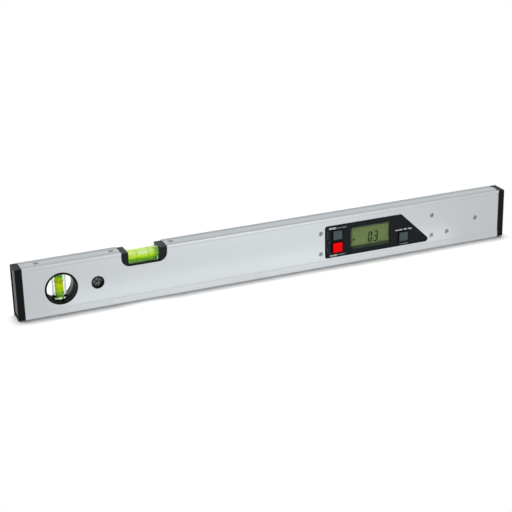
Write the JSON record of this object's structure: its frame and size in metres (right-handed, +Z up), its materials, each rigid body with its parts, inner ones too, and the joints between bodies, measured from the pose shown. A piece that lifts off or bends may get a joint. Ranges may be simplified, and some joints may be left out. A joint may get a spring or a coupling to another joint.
{
  "type": "digital spirit level",
  "caption": "Aluminium box-section spirit level with a level vial, a plumb vial and a battery-powered angle display with press keys.",
  "frame": {"origin": "centre of the base, on the face that the level rests on", "axes": "+X along the level towards the display end, +Y towards the rear face, +Z up"},
  "size_m": [0.611, 0.0226, 0.06],
  "materials": {
    "satin_aluminium": "satin silver anodised, drawn along the length",
    "black_plastic": "moulded black, fine grain",
    "panel_black": "satin black moulding",
    "key_grey": "grey soft-touch key",
    "key_red": "red soft-touch key",
    "clear_acrylic": "clear polished acrylic",
    "vial_liquid": "clear yellow-green liquid",
    "vial_bubble": "air bubble",
    "ring_black": "dark marker ring",
    "window_clear": "clear flat window",
    "lcd_green": "olive-green display with dark segments",
    "reflector_white": "white diffuser sheet",
    "gasket_rubber": "soft rubber",
    "screw_steel": "zinc-plated steel",
    "board_green": "solder-masked board",
    "chip_black": "moulded component bodies",
    "sensor_can": "tinned metal can",
    "plunger_white": "white switch plunger",
    "contact_nickel": "nickel-plated spring strip",
    "cell_jacket": "plain dark battery jacket",
    "wire_red": "red wire sleeve",
    "wire_black": "black wire sleeve"
  },
  "bodies": {
    "level": {"profile": "satin_aluminium", "left_end_cap": "black_plastic", "right_end_cap": "black_plastic", "plumb_holder": "black_plastic", "plumb_ring_front": "black_plastic", "plumb_ring_rear": "black_plastic", "top_vial_holder": "black_plastic", "top_vial_brackets": "black_plastic", "front_hole_plug": "black_plastic", "rear_hole_plug": "black_plastic", "display_rear_cover": "black_plastic", "battery_box": "black_plastic", "display_housing": "panel_black", "plumb_vial_body": "clear_acrylic", "top_vial_body": "clear_acrylic", "plumb_vial_plug": "clear_acrylic", "top_vial_plug": "clear_acrylic", "plumb_vial_liquid": "vial_liquid", "top_vial_liquid": "vial_liquid", "plumb_vial_rings": "ring_black", "top_vial_rings": "ring_black", "display_window": "window_clear", "lcd_glass": "lcd_green", "lcd_reflector": "reflector_white", "window_gasket": "gasket_rubber", "zebra_strip": "gasket_rubber", "plumb_holder_screw": "screw_steel", "top_vial_screws": "screw_steel", "module_screws": "screw_steel", "battery_box_screws": "screw_steel", "board_screws": "screw_steel", "battery_door_pin": "screw_steel", "main_board": "board_green", "microcontroller": "chip_black", "buzzer": "chip_black", "tact_switches": "chip_black", "tilt_sensor": "sensor_can", "battery_terminals": "contact_nickel", "battery_bridge": "contact_nickel", "battery_upper": "cell_jacket", "battery_lower": "cell_jacket", "red_wire": "wire_red", "black_wire": "wire_black"},
    "hold_button": {"hold_button": "key_grey", "hold_plunger": "plunger_white"},
    "power_button": {"power_button": "key_red", "power_plunger": "plunger_white"},
    "unit_button": {"unit_button": "key_grey", "unit_plunger": "plunger_white"},
    "battery_door": {"battery_door": "black_plastic"},
    "top_bubble": {"top_bubble": "vial_bubble"},
    "plumb_bubble": {"plumb_bubble": "vial_bubble"}
  },
  "joints": [
    {"name": "hold_press", "type": "slide", "parent": "level", "child": "hold_button", "axis": [0, 1, 0], "range_m": [0, 0.0007], "stiffness_N_per_m": 400},
    {"name": "power_press", "type": "slide", "parent": "level", "child": "power_button", "axis": [0, 1, 0], "range_m": [0, 0.0007], "stiffness_N_per_m": 400},
    {"name": "unit_press", "type": "slide", "parent": "level", "child": "unit_button", "axis": [0, 1, 0], "range_m": [0, 0.0007], "stiffness_N_per_m": 400},
    {"name": "battery_door_hinge", "type": "hinge", "parent": "level", "child": "battery_door", "pos_m": [0.22225, 0.00975, 0.03], "axis": [0, 0, 1], "range_deg": [0, 90]},
    {"name": "top_bubble_run", "type": "slide", "parent": "level", "child": "top_bubble", "axis": [1, 0, 0], "range_m": [-0.01, 0.01], "stiffness_N_per_m": 0.5, "deforming": ["top_vial_liquid"]},
    {"name": "plumb_bubble_run", "type": "slide", "parent": "level", "child": "plumb_bubble", "axis": [0, 0, 1], "range_m": [-0.024, 0], "stiffness_N_per_m": 0.5, "springref_m": 0.02, "deforming": ["plumb_vial_liquid"]}
  ]
}
